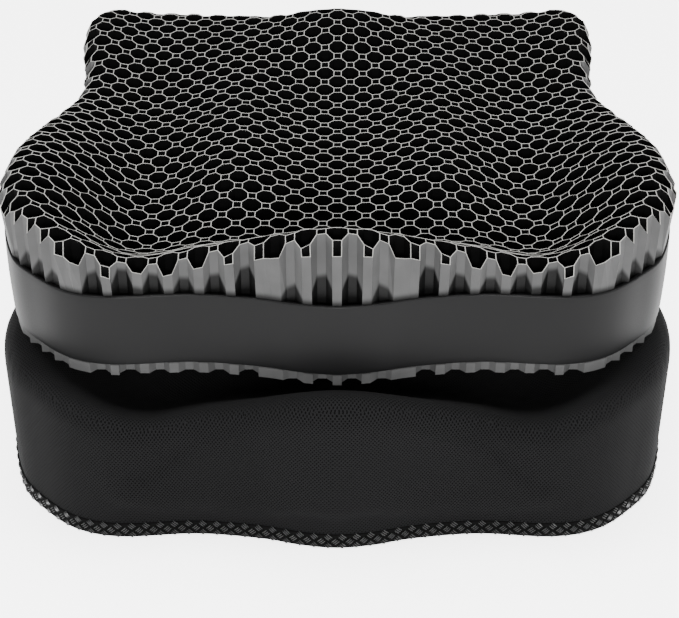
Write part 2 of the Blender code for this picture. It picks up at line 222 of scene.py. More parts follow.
def reach_inside(points, outline):
    """How far inside a closed outline each point lies, its nearest place on it, and the place's index."""
    start, end = outline, np.roll(outline, -1, 0)
    side = end - start
    span = (side ** 2).sum(1)
    to = points[:, None, :] - start[None]
    share = np.clip((to * side).sum(2) / span, 0.0, 1.0)
    near = start[None] + share[..., None] * side[None]
    gap = np.linalg.norm(points[:, None, :] - near, axis=2)
    best = gap.argmin(1)
    rows = np.arange(len(points))
    up, across = points[:, 1, None], points[:, 0, None]
    straddles = (start[None, :, 1] > up) != (end[None, :, 1] > up)
    rise = np.where(np.abs(side[:, 1]) < 1e-12, 1e-12, side[:, 1])
    cross = start[None, :, 0] + side[None, :, 0] * (up - start[None, :, 1]) / rise[None]
    inside = ((straddles & (cross > across)).sum(1) % 2).astype(bool)
    distance = gap[rows, best]
    return np.where(inside, distance, -distance), near[rows, best], best + share[rows, best]


def add_piece(name, points, faces, finishes, face_finish=None, smooth=False):
    """A mesh object from points and faces, with a finish number for each face."""
    mesh = bpy.data.meshes.new(name)
    mesh.from_pydata([tuple(p) for p in points], [], faces)
    for finish in finishes:
        mesh.materials.append(finish)
    if face_finish is not None:
        mesh.polygons.foreach_set("material_index", face_finish)
    if smooth:
        mesh.shade_smooth()
    mesh.update()
    made = bpy.data.objects.new(name, mesh)
    bpy.context.collection.objects.link(made)
    return made


def octagon(i, j):
    """The corners of an octagon cell, each named by the small square that it belongs to."""
    return ((i + 1, j, -1, -1), (i + 1, j, -1, 1), (i, j + 1, 1, -1), (i, j + 1, -1, -1),
            (i - 1, j, 1, 1), (i - 1, j, 1, -1), (i, j - 1, -1, 1), (i, j - 1, 1, 1))


def square(i, j):
    return ((i, j, -1, -1), (i, j, 1, -1), (i, j, 1, 1), (i, j, -1, 1))


def cell_middles(parity):
    """The lattice places of one kind of cell over the whole plan, with their plan points."""
    columns, rows = math.ceil(WIDTH / 2 / CELL_PITCH), math.ceil(DEPTH / 2 / CELL_PITCH) + 1
    places = [(i, j) for i in range(-columns, columns + 1) for j in range(-rows, rows + 1)
              if (i + j) % 2 == parity]
    return places, np.array(places) * CELL_PITCH + (0.0, ROW_SHIFT)


def honeycomb_cells(outline):
    """The cells that fall inside the outline: octagons first, then the squares beside them."""
    places, middles = cell_middles(0)
    depth = reach_inside(middles, outline)[0]
    kept = {place for place, d in zip(places, depth) if d > OCTAGON_INSIDE}
    cells = [octagon(*place) for place in sorted(kept)]
    places, middles = cell_middles(1)
    depth = reach_inside(middles, outline)[0]
    for (i, j), d in zip(places, depth):
        near = ((i + 1, j), (i - 1, j), (i, j + 1), (i, j - 1))
        if d > SQUARE_INSIDE and any(place in kept for place in near):
            cells.append(square(i, j))
    return cells


def cell_outside(cells):
    """The closed loops that run round the outside of a set of cells."""
    sides = {(a, b) for cell in cells for a, b in zip(cell, cell[1:] + cell[:1])}
    onward = {a: b for a, b in sides if (b, a) not in sides}
    loops = []
    while onward:
        first, corner = next(iter(sorted(onward.items())))
        loop = [first]
        del onward[first]
        while corner != first:
            loop.append(corner)
            corner = onward.pop(corner)
        loops.append(tuple(loop))
    return loops


def moved_corners(ring, offset):
    """A ring of plan points, moved to the left of its way round by offset."""
    way = np.roll(ring, -1, 0) - ring
    way /= np.maximum(np.linalg.norm(way, axis=1), 1e-9)[:, None]
    left = np.stack((-way[:, 1], way[:, 0]), 1)
    both = left + np.roll(left, 1, 0)
    open_to = np.maximum(1.0 + (left * np.roll(left, 1, 0)).sum(1), SHARPEST_CORNER)
    return ring + offset * both / open_to[:, None]


def honeycomb_mesh():
    """Points, faces, materials (0 rim, painted lighter as a highlight; 1 inside of a cell, painted near
    black as shade; 2 outside) and how far back each point is.
    """
    outline = plan_outline(NOTCH, -(CELLS_INSET + WALL / 2), CORE_OUTLINE_POINTS)
    cells = honeycomb_cells(outline)
    rings = [(cell, 1.0, 1) for cell in cells] + [(loop, -1.0, 2) for loop in cell_outside(cells)]
    corners = sorted({corner for cell in cells for corner in cell})
    number = {corner: k for k, corner in enumerate(corners)}
    wander = random.Random(4)
    plan = np.array([
        (i * CELL_PITCH + a * HALF_SQUARE + wander.uniform(-1, 1) * CASTING_WANDER,
         j * CELL_PITCH + b * HALF_SQUARE + ROW_SHIFT + wander.uniform(-1, 1) * CASTING_WANDER)
        for i, j, a, b in corners])
    depth, nearest, _ = reach_inside(plan, outline)
    waist = np.where(depth[:, None] < 0.0, nearest, plan)
    over, nearest, _ = reach_inside(plan, plan_outline(NOTCH, CELLS_OVERHANG, CORE_OUTLINE_POINTS))
    plan = np.where(over[:, None] < 0.0, nearest, plan)
    away = 1.0 - np.clip(depth / ROLL_WIDTH, 0.0, 1.0)
    top = seat_height(plan) - ROLL_DROP * (1.0 - np.sqrt(1.0 - away ** 2))
    points, faces, kinds, back, at = [], [], [], [], {}
    for r, (ring, sign, kind) in enumerate(rings):
        index = [number[corner] for corner in ring]
        wide = moved_corners(plan[index], sign * (WALL / 2 - RIM_CHAMFER))
        full = moved_corners(plan[index], sign * WALL / 2)
        drawn_in = moved_corners(waist[index], sign * WALL / 2)
        base, count = len(points), len(ring)
        points += [(x, y, z) for (x, y), z in zip(wide, top[index])]
        points += [(x, y, z - RIM_CHAMFER) for (x, y), z in zip(full, top[index])]
        points += [(x, y, min(WAIST, z - 2 * RIM_CHAMFER)) for (x, y), z in zip(drawn_in, top[index])]
        points += [(x, y, 0.0) for x, y in drawn_in]
        back += list(depth[index]) * 4
        for k, corner in enumerate(ring):
            at.setdefault(corner, {})[r] = base + k
            m = (k + 1) % count
            for level, finish in ((0, 0), (1, kind), (2, kind)):
                low, high = base + (level + 1) * count, base + level * count
                faces.append((high + k, high + m, low + m, low + k))
                kinds.append(finish)
    ring_of_side = {}
    for r, (ring, sign, _) in enumerate(rings):
        for a, b in zip(ring, ring[1:] + ring[:1]):
            ring_of_side.setdefault((a, b) if sign > 0 else (b, a), r)
    counts = [len(ring) for ring, _, _ in rings]
    for (a, b), r in ring_of_side.items():
        other = ring_of_side.get((b, a))
        if other is None or (b, a) < (a, b):
            continue
        for drop in (0, 3):
            face = [at[a][r] + drop * counts[r], at[b][r] + drop * counts[r],
                    at[b][other] + drop * counts[other], at[a][other] + drop * counts[other]]
            faces.append(tuple(face if drop else reversed(face)))
            kinds.append(0 if drop == 0 else 2)
    for corner, meeting in at.items():
        if len(meeting) != 3:
            continue
        for drop in (0, 3):
            three = sorted(meeting, key=lambda r: math.atan2(
                points[meeting[r]][1] - plan[number[corner]][1],
                points[meeting[r]][0] - plan[number[corner]][0]))
            face = [meeting[r] + drop * counts[r] for r in three]
            faces.append(tuple(face if drop == 0 else reversed(face)))
            kinds.append(0 if drop == 0 else 2)
    return points, faces, kinds, back


def grain_group():
    """Casting and handling marks: a fine height and a broad tone."""
    group = bpy.data.node_groups.new("casting grain", "ShaderNodeTree")
    group.interface.new_socket("Fine Scale", in_out="INPUT", socket_type="NodeSocketFloat")
    group.interface.new_socket("Broad Scale", in_out="INPUT", socket_type="NodeSocketFloat")
    group.interface.new_socket("Height", in_out="OUTPUT", socket_type="NodeSocketFloat")
    group.interface.new_socket("Tone", in_out="OUTPUT", socket_type="NodeSocketFloat")
    nodes, links = group.nodes, group.links
    given = nodes.new("NodeGroupInput")
    told = nodes.new("NodeGroupOutput")
    place = nodes.new("ShaderNodeTexCoord")
    fine = nodes.new("ShaderNodeTexNoise")
    broad = nodes.new("ShaderNodeTexNoise")
    fine.inputs["Detail"].default_value = 4.0
    broad.inputs["Detail"].default_value = 2.0
    for noise, scale in ((fine, "Fine Scale"), (broad, "Broad Scale")):
        links.new(place.outputs["Object"], noise.inputs["Vector"])
        links.new(given.outputs[scale], noise.inputs["Scale"])
    links.new(fine.outputs["Fac"], told.inputs["Height"])
    links.new(broad.outputs["Fac"], told.inputs["Tone"])
    return group


GRAIN = grain_group()


def cast_material(name, dark, light, roughness, fine_scale, broad_scale, bump, specular):
    """A moulded skin whose tone drifts between two colours, with a fine grain."""
    made = bpy.data.materials.new(name)
    made.use_nodes = True
    nodes, links = made.node_tree.nodes, made.node_tree.links
    shader = nodes["Principled BSDF"]
    shader.inputs["Specular IOR Level"].default_value = specular
    grain = nodes.new("ShaderNodeGroup")
    grain.node_tree = GRAIN
    grain.inputs["Fine Scale"].default_value = fine_scale
    grain.inputs["Broad Scale"].default_value = broad_scale
    tone = nodes.new("ShaderNodeMix")
    tone.data_type = "RGBA"
    tone.inputs["A"].default_value = (*dark, 1.0)
    tone.inputs["B"].default_value = (*light, 1.0)
    gloss = nodes.new("ShaderNodeMapRange")
    gloss.inputs["To Min"].default_value = roughness - 0.06
    gloss.inputs["To Max"].default_value = roughness + 0.08
    relief = nodes.new("ShaderNodeBump")
    relief.inputs["Strength"].default_value = bump
    relief.inputs["Distance"].default_value = 0.2 * MM
    links.new(grain.outputs["Tone"], tone.inputs["Factor"])
    links.new(tone.outputs["Result"], shader.inputs["Base Color"])
    links.new(grain.outputs["Height"], gloss.inputs["Value"])
    links.new(gloss.outputs["Result"], shader.inputs["Roughness"])
    links.new(grain.outputs["Height"], relief.inputs["Height"])
    links.new(relief.outputs["Normal"], shader.inputs["Normal"])
    return made, tone


def shade_towards(made, tone, foot, low, high, climb, painted_shade_colour):
    """Painted shade: darkens a moulded skin between the foot and a height, and higher up where it is set
    back, standing in for the shade where it meets the band and in recesses.
    """
    nodes, links = made.node_tree.nodes, made.node_tree.links
    place = nodes.new("ShaderNodeTexCoord")
    split = nodes.new("ShaderNodeSeparateXYZ")
    links.new(place.outputs["Object"], split.inputs["Vector"])
    rise = nodes.new("ShaderNodeMapRange")
    rise.interpolation_type = "SMOOTHSTEP"
    rise.inputs["From Min"].default_value = low
    rise.inputs["From Max"].default_value = high
    mixed = nodes.new("ShaderNodeMix")
    mixed.data_type = "RGBA"
    mixed.inputs["A"].default_value = (*painted_shade_colour, 1.0)
    set_back = nodes.new("ShaderNodeAttribute")
    set_back.attribute_name = "recess"
    climbing = nodes.new("ShaderNodeMath")
    climbing.operation = "MULTIPLY_ADD"
    climbing.inputs[1].default_value = -climb
    links.new(set_back.outputs["Fac"], climbing.inputs[0])
    links.new(split.outputs["Z"], climbing.inputs[2])
    links.new(climbing.outputs[0], rise.inputs["Value"])
    below = nodes.new("ShaderNodeMapRange")
    below.inputs["From Min"].default_value = foot
    below.inputs["From Max"].default_value = foot - STUB_SHADE
    links.new(split.outputs["Z"], below.inputs["Value"])
    lit = nodes.new("ShaderNodeMath")
    lit.operation = "MAXIMUM"
    links.new(rise.outputs["Result"], lit.inputs[0])
    links.new(below.outputs["Result"], lit.inputs[1])
    links.new(lit.outputs[0], mixed.inputs["Factor"])
    links.new(tone.outputs["Result"], mixed.inputs["B"])
    links.new(mixed.outputs["Result"], nodes["Principled BSDF"].inputs["Base Color"])


# One gel in three colours: the rims are painted lighter than the gel as a highlight, and the insides of the
# cells are painted near black as shade.
rim_gel_painted_highlight = cast_material("gel rim painted highlight", (0.22, 0.215, 0.205), (0.34, 0.335, 0.32), 0.42,
                        900.0, 14.0, 0.15, 0.4)[0]
inner_gel_painted_shade = cast_material("gel inside painted shade", (0.0015, 0.0015, 0.0015), (0.003, 0.003, 0.003), 0.7,
                          700.0, 20.0, 0.1, 0.05)[0]
outer_gel, outer_tone = cast_material("gel outside", (0.05, 0.05, 0.05), (0.085, 0.085, 0.085), 0.5,
                                      500.0, 60.0, 0.25, 0.2)
points, faces, kinds, back = honeycomb_mesh()
core = add_piece("gel_honeycomb", points, faces, (rim_gel_painted_highlight, inner_gel_painted_shade, outer_gel), kinds)
# How far back each point lies; the painted shade on the outer gel climbs higher where this is larger.
recess = core.data.attributes.new("recess", "FLOAT", "POINT")
recess.data.foreach_set("value", np.clip(back, 0.0, None).astype(np.float32))
core.location = core_place
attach(core, "core")
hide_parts("honeycomb_core")

# ---------------------------------------------------------------------------------------------
# The edge band: a smooth strip of the same gel, moulded round the core's waist.
# It stands a little proud of the cells, with rounded lips above and below.

BAND_WALL = 3.0 * MM
BAND_LIP = 1.2 * MM
BAND_SWELL = 0.5 * MM
BAND_ROUND = 360
BAND_RISE_STEPS = 12
BAND_LIP_STEPS = 4

band_low, band_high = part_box("edge_band")


def band_profile():
    """The band's section from its inner foot, out and up its face, to its inner top."""
    height = band_high.z - band_low.z
    profile = [(-BAND_WALL, 0.0)]
    for k in range(BAND_LIP_STEPS + 1):
        turn = math.pi / 2 * k / BAND_LIP_STEPS
        profile.append((-BAND_LIP * (1 - math.sin(turn)), BAND_LIP * (1 - math.cos(turn))))
    for k in range(1, BAND_RISE_STEPS):
        share = k / BAND_RISE_STEPS
        swell = BAND_SWELL * math.sin(math.pi * share)
        profile.append((swell, BAND_LIP + share * (height - 2 * BAND_LIP)))
    for k in range(BAND_LIP_STEPS, -1, -1):
        turn = math.pi / 2 * k / BAND_LIP_STEPS
        profile.append((-BAND_LIP * (1 - math.sin(turn)), height - BAND_LIP * (1 - math.cos(turn))))
    profile.append((-BAND_WALL, height))
    return profile


def swept_ring(profile, back, count, place):
    """A section carried all the way round the outline and joined up with itself."""
    points = []
    for offset, rise in profile:
        points += [(x + place.x, y + place.y, rise + place.z) for x, y in plan_outline(back, offset, count)]
    faces = []
    for level in range(len(profile)):
        low, high = level * count, (level + 1) % len(profile) * count
        for k in range(count):
            m = (k + 1) % count
            faces.append((low + k, low + m, high + m, high + k))
    return points, faces


points, faces = swept_ring(band_profile(), NOTCH, BAND_ROUND, Vector((0.0, core_place.y, band_low.z)))
band_skin = cast_material("band skin", (0.0045, 0.0045, 0.0047), (0.007, 0.007, 0.0072), 0.42,
                          1400.0, 9.0, 0.12, 0.14)[0]
band = add_piece("gel_edge_band", points, faces, (band_skin,), smooth=True)
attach(band, "core")
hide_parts("edge_band")

BAND_SHADE_START = 0.5 * MM
BAND_SHADE_RISE = 6.0 * MM
BAND_SHADE_CLIMB = 2.3
band_top = band_high.z - core_place.z
band_foot = band_low.z - core_place.z
# Painted shade on the outer gel: darkened just above the band, and higher up where the cell walls are set
# back.
shade_towards(outer_gel, outer_tone, band_foot, band_top + BAND_SHADE_START, band_top + BAND_SHADE_RISE,
              BAND_SHADE_CLIMB, (0.001, 0.001, 0.001))

# ---------------------------------------------------------------------------------------------
# The cover's hood: open air mesh, knitted with small oval holes, sewn into the cushion's shape.
# It runs over the rounded edge in one piece, and swells a little between its seams.

COVER_CLEARANCE = 3.5 * MM
FABRIC = 1.6 * MM
FABRIC_FACE = COVER_CLEARANCE + 2.0 * MM
HOOD_ROLL = 15.0 * MM
HOOD_RISE = 5.7 * MM
HOOD_ROLL_STEPS = 6
HOOD_SLACK = 1.0 * MM
HOOD_ROUND = 240
HOOD_TOP_SHARES = (0.9, 0.75, 0.6, 0.45, 0.3, 0.15)
HOOD_FOOT = 12.0 * MM
CLOTH_GRID = 5.0 * MM
CLOTH_PRESSURE = 4.0
CLOTH_FRAMES = 20
SWELL_CAP = 2.4 * MM
SEAM_HOLD = (12.0 * MM, 34.0 * MM)
MESH_HOLE = 2.5 * MM
MESH_ROW = 3.2 * MM
TOP_FACING = 0.72
CEILING_GAP = 0.3 * MM
CEILING_START = 2.0 * MM



def hood_form():
    """A closed form a little inside the cover's size, as the start of its filling out."""
    offset = FABRIC_FACE - HOOD_SLACK
    rings = [(plan_outline(STRAIGHT_BACK, offset, HOOD_ROUND), None)]
    for k in range(HOOD_ROLL_STEPS + 1):
        turn = math.pi / 2 * k / HOOD_ROLL_STEPS
        inset = HOOD_ROLL * (1.0 - math.cos(turn))
        rings.append((plan_outline(STRAIGHT_BACK, offset - inset, HOOD_ROUND),
                      HOOD_ROLL * (1.0 - math.sin(turn))))
    edge = plan_outline(STRAIGHT_BACK, offset - HOOD_ROLL, HOOD_ROUND)
    rings += [(edge * share, 0.0) for share in HOOD_TOP_SHARES]
    points, faces = [], []
    for ring, drop in rings:
        if drop is None:
            points += [(x, y, 0.0) for x, y in ring]
        else:
            points += [(x, y, z + HOOD_RISE - HOOD_SLACK / 2 - drop)
                       for (x, y), z in zip(ring, seat_height(ring))]
    for level in range(len(rings) - 1):
        low, high = level * HOOD_ROUND, (level + 1) * HOOD_ROUND
        for k in range(HOOD_ROUND):
            m = (k + 1) % HOOD_ROUND
            faces.append((low + k, low + m, high + m, high + k))
    last = (len(rings) - 1) * HOOD_ROUND
    points.append((0.0, 0.0, seat_height(np.zeros((1, 2)))[0] + HOOD_RISE - HOOD_SLACK / 2))
    faces += [(last + k, last + (k + 1) % HOOD_ROUND, len(points) - 1) for k in range(HOOD_ROUND)]
    faces.append(tuple(reversed(range(HOOD_ROUND))))
    return points, faces


def points_of(mesh):
    co = np.zeros(len(mesh.vertices) * 3, np.float32)
    mesh.vertices.foreach_get("co", co)
    return co.reshape(-1, 3).astype(float)


def put_points(mesh, co):
    mesh.vertices.foreach_set("co", co.astype(np.float32).ravel())
    mesh.update()


def apply_modifiers(made):
    """Replaces an object's mesh by what its modifiers make of it."""
    made_of = made.evaluated_get(bpy.context.evaluated_depsgraph_get())
    mesh = bpy.data.meshes.new_from_object(made_of)
    made.modifiers.clear()
    made.data = mesh


def fill_out(cover):
    """Lets air press the sewn fabric outwards, held at its lower seam, no further than the cap."""
    start = points_of(cover.data)
    facing = np.array([tuple(point.vector) for point in cover.data.vertex_normals])
    held = cover.vertex_groups.new(name="seam")
    held.add([k for k, z in enumerate(start[:, 2]) if z < HOOD_FOOT + CLOTH_GRID], 1.0, "REPLACE")
    cloth = cover.modifiers.new("cloth", "CLOTH")
    cloth.settings.effector_weights.gravity = 0.0
    cloth.settings.use_pressure = True
    cloth.settings.uniform_pressure_force = CLOTH_PRESSURE
    cloth.settings.vertex_group_mass = "seam"
    scene = bpy.context.scene
    for step in range(1, CLOTH_FRAMES + 1):
        scene.frame_set(step)
    apply_modifiers(cover)
    moved = points_of(cover.data) - start
    inward = np.minimum((moved * facing).sum(1), 0.0)
    moved -= facing * inward[:, None]
    far = np.linalg.norm(moved, axis=1)
    moved *= np.minimum(1.0, SWELL_CAP / np.maximum(far, 1e-9))[:, None]
    moved *= smooth_step(start[:, 2], SEAM_HOLD)[:, None]
    put_points(cover.data, start + moved)
    scene.frame_set(1)


def lay_weave(mesh, foot):
    """A flat map of the fabric in metres: seen from above on top, and unrolled on the sides."""
    outline = plan_outline(STRAIGHT_BACK, COVER_CLEARANCE, HOOD_ROUND)
    step = np.linalg.norm(np.roll(outline, -1, 0) - outline, axis=1).mean()
    co = points_of(mesh)
    around = reach_inside(co[:, :2], outline)[2] * step
    length = HOOD_ROUND * step
    layer = mesh.uv_layers.new(name="weave")
    for face in mesh.polygons:
        flat = face.normal.z > TOP_FACING
        first = around[mesh.loops[face.loop_indices[0]].vertex_index]
        for loop in face.loop_indices:
            k = mesh.loops[loop].vertex_index
            if flat:
                layer.data[loop].uv = (co[k, 0], co[k, 1])
                continue
            u = around[k]
            u += length * round((first - u) / length)
            layer.data[loop].uv = (u, co[k, 2] - foot)


points, faces = hood_form()
hood = add_piece("air_mesh_hood", points, faces, ())
bpy.context.view_layer.objects.active = hood
remesh = hood.modifiers.new("even grid", "REMESH")
remesh.mode = "VOXEL"
remesh.voxel_size = CLOTH_GRID
apply_modifiers(hood)
fill_out(hood)
co = points_of(hood.data)
depth = reach_inside(co[:, :2], plan_outline(STRAIGHT_BACK, FABRIC_FACE, HOOD_ROUND))[0]
away = 1.0 - np.clip(depth / HOOD_ROLL, 0.0, 1.0)
ceiling = seat_height(co[:, :2]) + HOOD_RISE - HOOD_ROLL * (1.0 - np.sqrt(1.0 - away ** 2)) - CEILING_GAP
over = (depth > CEILING_START) & (co[:, 2] > ceiling)
co[over, 2] = ceiling[over]
put_points(hood.data, co)
smoothing = hood.modifiers.new("finer", "SUBSURF")
smoothing.levels = smoothing.render_levels = 1
apply_modifiers(hood)
shell = bmesh.new()
shell.from_mesh(hood.data)
bmesh.ops.bisect_plane(shell, geom=shell.verts[:] + shell.edges[:] + shell.faces[:],
                       plane_co=(0.0, 0.0, HOOD_FOOT), plane_no=(0.0, 0.0, 1.0), clear_inner=True)
shell.to_mesh(hood.data)
shell.free()
lay_weave(hood.data, HOOD_FOOT)
thick = hood.modifiers.new("fabric", "SOLIDIFY")
thick.thickness = FABRIC
thick.offset = -1.0
apply_modifiers(hood)
hood.data.shade_smooth()


def air_mesh_material():
    """Black knit with staggered oval holes: dark in the holes, with a soft sheen on the yarn."""
    made = bpy.data.materials.new("air mesh")
    made.use_nodes = True
    nodes, links = made.node_tree.nodes, made.node_tree.links
    shader = nodes["Principled BSDF"]
    shader.inputs["Specular IOR Level"].default_value = 0.04
    shader.inputs["Sheen Weight"].default_value = 0.015
    shader.inputs["Sheen Roughness"].default_value = 0.5
    uv = nodes.new("ShaderNodeUVMap")
    uv.uv_map = "weave"
    split = nodes.new("ShaderNodeSeparateXYZ")
    links.new(uv.outputs["UV"], split.inputs["Vector"])

    def wave(socket, pitch):
        scaled = nodes.new("ShaderNodeMath")
        scaled.operation = "MULTIPLY"
        scaled.inputs[1].default_value = 2 * math.pi / pitch
        turned = nodes.new("ShaderNodeMath")
        turned.operation = "COSINE"
        links.new(socket, scaled.inputs[0])
        links.new(scaled.outputs[0], turned.inputs[0])
        return turned.outputs[0]

    staggered = nodes.new("ShaderNodeMath")
    staggered.operation = "MULTIPLY"
    links.new(wave(split.outputs["X"], MESH_HOLE), staggered.inputs[0])
    links.new(wave(split.outputs["Y"], MESH_ROW), staggered.inputs[1])
    holes = nodes.new("ShaderNodeMapRange")
    holes.interpolation_type = "SMOOTHSTEP"
    holes.inputs["From Min"].default_value = 0.10
    holes.inputs["From Max"].default_value = 0.50
    links.new(staggered.outputs[0], holes.inputs["Value"])
    grain = nodes.new("ShaderNodeGroup")
    grain.node_tree = GRAIN
    grain.inputs["Fine Scale"].default_value = 2600.0
    grain.inputs["Broad Scale"].default_value = 11.0
    tone = nodes.new("ShaderNodeMix")
    tone.data_type = "RGBA"
    tone.inputs["A"].default_value = (0.0050, 0.0050, 0.0052, 1.0)
    tone.inputs["B"].default_value = (0.0095, 0.0095, 0.0099, 1.0)
    links.new(grain.outputs["Tone"], tone.inputs["Factor"])
    yarn = nodes.new("ShaderNodeMix")
    yarn.data_type = "RGBA"
    yarn.inputs["B"].default_value = (0.0002, 0.0002, 0.0002, 1.0)
    links.new(holes.outputs["Result"], yarn.inputs["Factor"])
    links.new(tone.outputs["Result"], yarn.inputs["A"])
    links.new(yarn.outputs["Result"], shader.inputs["Base Color"])
    lint = nodes.new("ShaderNodeMapRange")
    lint.inputs["To Min"].default_value = 0.62
    lint.inputs["To Max"].default_value = 0.85
    links.new(grain.outputs["Height"], lint.inputs["Value"])
    links.new(lint.outputs["Result"], shader.inputs["Roughness"])
    sunk = nodes.new("ShaderNodeMath")
    sunk.operation = "SUBTRACT"
    sunk.inputs[0].default_value = 1.0
    links.new(holes.outputs["Result"], sunk.inputs[1])
    relief = nodes.new("ShaderNodeBump")
    relief.inputs["Strength"].default_value = 0.8
    relief.inputs["Distance"].default_value = 0.5 * MM
    links.new(sunk.outputs[0], relief.inputs["Height"])
    links.new(relief.outputs["Normal"], shader.inputs["Normal"])
    return made


hood.data.materials.append(air_mesh_material())
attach(hood, "cover")
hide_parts("mesh_hood")

# ---------------------------------------------------------------------------------------------
# The binding: a webbing sewn round the foot of the hood, in a slanting basket weave.
# Three yarns go one way, then three the other; it stops where the zip begins and ends.

BINDING_THICKNESS = 2.8 * MM
BINDING_RISE = 0.9 * MM
BINDING_LIP = BINDING_THICKNESS / 2.6
BINDING_LIP_STEPS = 3
BINDING_ROUND = 360
BINDING_END_CLEAR = 1.0 * MM
SEAM_GAP = 0.3 * MM
BASKET_LENGTH = 9.7 * MM
BASKET_ROWS = 3
YARNS = 3
YARN_THICKNESS = 0.8 * MM
YARN_LENGTH = 4.8 * MM
YARN_SPACING = 1.5 * MM
YARN_SINK = -0.25 * MM
YARN_LOWEST = 0.1 * MM
YARN_DIVE = 0.45 * MM
YARN_TAPER = 0.85
YARN_MARGIN = 2.3 * MM
STRIP_SETBACK = 1.0 * MM
YARN_RINGS = 5
YARN_SIDES = 6

tape_low, tape_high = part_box("zip_tape_upper")
zip_gap = max(-tape_low.x, tape_high.x) + SEAM_GAP
binding_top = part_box("edge_binding")[1].z + BINDING_RISE


def binding_path(offset):
    """The outline from one end of the zip round the front to the other end."""
    ring = plan_outline(STRAIGHT_BACK, offset, BINDING_ROUND)
    ring = np.roll(ring, -(BINDING_ROUND // 2), axis=0)
    kept = (ring[:, 1] < 0.0) | (np.abs(ring[:, 0]) > zip_gap + BINDING_END_CLEAR)
    back = DEPTH / 2 + offset
    return np.vstack(((-zip_gap, back), ring[kept], (zip_gap, back))), kept


def binding_strip():
    """The webbing's body, a flat strip with rounded long edges."""
    lip = []
    for k in range(BINDING_LIP_STEPS + 1):
        turn = math.pi / 2 * k / BINDING_LIP_STEPS
        lip.append((BINDING_THICKNESS + COVER_CLEARANCE - BINDING_LIP * (1 - math.sin(turn)),
                    BINDING_LIP * (1 - math.cos(turn))))
    profile = [(COVER_CLEARANCE, 0.0)] + lip
    profile += [(out, binding_top - rise) for out, rise in reversed(lip)]
    profile.append((COVER_CLEARANCE, binding_top))
    kept = binding_path(COVER_CLEARANCE)[1]
    sections = []
    for offset, z in profile:
        ring = plan_outline(STRAIGHT_BACK, offset - STRIP_SETBACK, BINDING_ROUND)
        ring = np.roll(ring, -(BINDING_ROUND // 2), axis=0)
        back = DEPTH / 2 + offset - STRIP_SETBACK
        line = np.vstack(((-zip_gap, back), ring[kept], (zip_gap, back)))
        sections.append([(x, y, z) for x, y in line])
    count, around = len(sections[0]), len(profile)
    points = [section[k] for k in range(count) for section in sections]
    faces = []
    for k in range(count - 1):
        for level in range(around):
            up = (level + 1) % around
            here, ahead = k * around, (k + 1) * around
            faces.append((here + level, ahead + level, ahead + up, here + up))
    faces.append(tuple(reversed(range(around))))
    faces.append(tuple((count - 1) * around + level for level in range(around)))
    return points, faces


def add_yarn(points, faces, middle, along, across, out):
    """One short float of yarn: a tube that dives into the webbing at both its ends."""
    base = len(points)
    for ring in range(YARN_RINGS):
        share = ring / (YARN_RINGS - 1) * 2 - 1
        thin = math.sqrt(1.0 - share ** 2 * YARN_TAPER) * YARN_THICKNESS / 2
        sink = YARN_SINK + YARN_DIVE * share ** 2
        for side in range(YARN_SIDES):
            turn = 2 * math.pi * side / YARN_SIDES
            place = middle + along * (share * YARN_LENGTH / 2) + across * (thin * math.cos(turn))
            place += out * (thin * math.sin(turn) - sink)
            points.append((place.x, place.y, max(place.z, YARN_LOWEST)))
    for ring in range(YARN_RINGS - 1):
        for side in range(YARN_SIDES):
            a, b = base + ring * YARN_SIDES, base + (ring + 1) * YARN_SIDES
            m = (side + 1) % YARN_SIDES
            faces.append((a + side, b + side, b + m, a + m))
    last = base + (YARN_RINGS - 1) * YARN_SIDES
    faces.append(tuple(base + side for side in range(YARN_SIDES)))
    faces.append(tuple(reversed([last + side for side in range(YARN_SIDES)])))


points, faces = binding_strip()
strip_faces = len(faces)
path = binding_path(COVER_CLEARANCE + BINDING_THICKNESS - STRIP_SETBACK)[0]
run = np.concatenate(([0.0], np.cumsum(np.linalg.norm(np.diff(path, axis=0), axis=1))))
baskets = int(run[-1] / BASKET_LENGTH)
row_rise = binding_top / BASKET_ROWS
for row in range(BASKET_ROWS):
    lean = 1.0 if row % 2 else -1.0
    for k in range(baskets):
        for yarn in range(YARNS):
            place = (k + 0.5 + 0.5 * (row % 2)) * BASKET_LENGTH
            shift = (yarn - (YARNS - 1) / 2) * YARN_SPACING
            if place > run[-1] - BASKET_LENGTH / 2:
                continue
            here = Vector([np.interp(place, run, path[:, axis]) for axis in (0, 1)] + [0.0])
            ahead = Vector([np.interp(place + MM, run, path[:, axis]) for axis in (0, 1)] + [0.0])
            way = (ahead - here).normalized()
            up = Vector((0.0, 0.0, 1.0))
            out_way = way.cross(up)
            along = (way + up * lean).normalized()
            across = (way - up * lean).normalized()
            height = min(max((row + 0.5) * row_rise, YARN_MARGIN), binding_top - YARN_MARGIN)
            middle = here + up * height + across * shift
            add_yarn(points, faces, middle, along, across, out_way)
# The webbing's ground is the same webbing as its yarns, painted near black as the shade between the raised
# yarns.
ground_painted_shade = cast_material("webbing ground", (0.0015, 0.0015, 0.0015), (0.003, 0.003, 0.003), 0.8,
                       1800.0, 160.0, 0.5, 0.05)[0]
yarn_gloss = cast_material("webbing yarn", (0.006, 0.006, 0.0062), (0.020, 0.020, 0.0205), 0.28,
                           1800.0, 160.0, 0.5, 0.6)[0]
kinds = [0] * strip_faces + [1] * (len(faces) - strip_faces)
binding = add_piece("basket_binding", points, faces, (ground_painted_shade, yarn_gloss), kinds)
binding.data.shade_smooth()
binding.data.set_sharp_from_angle(angle=math.radians(50))
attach(binding, "cover")
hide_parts("edge_binding")

# ---------------------------------------------------------------------------------------------
# The underside: a plain woven fabric with rows of small rubber dots that grip the chair.
# It is sewn in under the binding, and the dots are what the cushion stands on.

